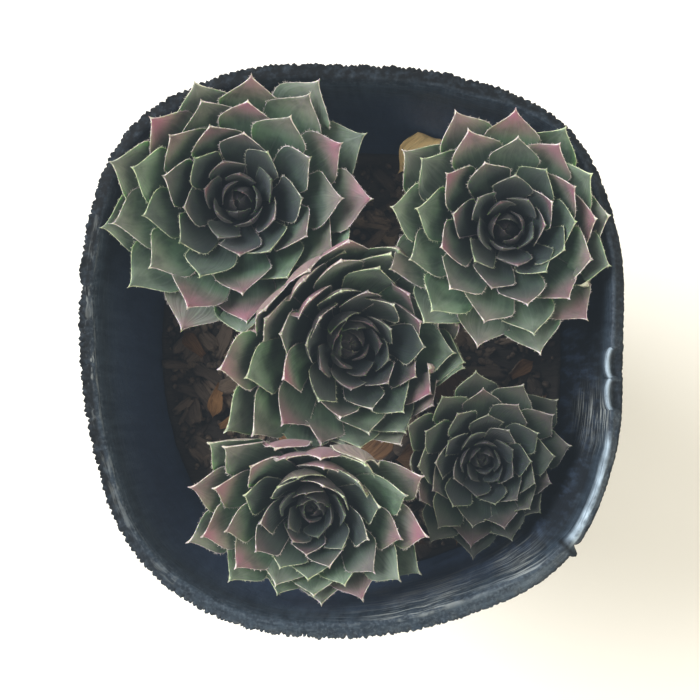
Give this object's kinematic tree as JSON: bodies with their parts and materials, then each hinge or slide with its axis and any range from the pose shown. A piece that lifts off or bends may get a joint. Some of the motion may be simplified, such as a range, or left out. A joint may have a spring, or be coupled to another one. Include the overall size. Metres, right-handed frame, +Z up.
{
  "type": "potted houseleek",
  "caption": "Houseleek rosettes of different size and lean, crowded in a soft nursery pot pressed to a rounded square, with bark mix and withered leaves.",
  "frame": {"origin": "middle of the object's footprint, on the surface that the pot's foot ring stands on", "axes": "+Z up, +Y along the pot's longer side, +X along its shorter side"},
  "size_m": [0.0866, 0.0919, 0.0848],
  "materials": {
    "pot_plastic": "soft black polyethylene film, matte inside, a dull sheen on the lip",
    "potting_mix": "dry bark chips and crumbs, dull brown",
    "leaf": "fleshy grey-green leaf with purple tips and a pale margin, soft waxy sheen",
    "withered_leaf": "dry papery straw to brown leaf"
  },
  "bodies": {
    "root": {"pot": "pot_plastic", "potting_mix": "potting_mix", "rosette_back_left": "leaf", "rosette_back_right": "leaf", "rosette_middle": "leaf", "rosette_front_left": "leaf", "rosette_front_right": "leaf", "withered_back_left": "withered_leaf", "withered_back_right": "withered_leaf", "withered_middle": "withered_leaf", "withered_front_left": "withered_leaf", "withered_front_right": "withered_leaf"}
  },
  "joints": []
}
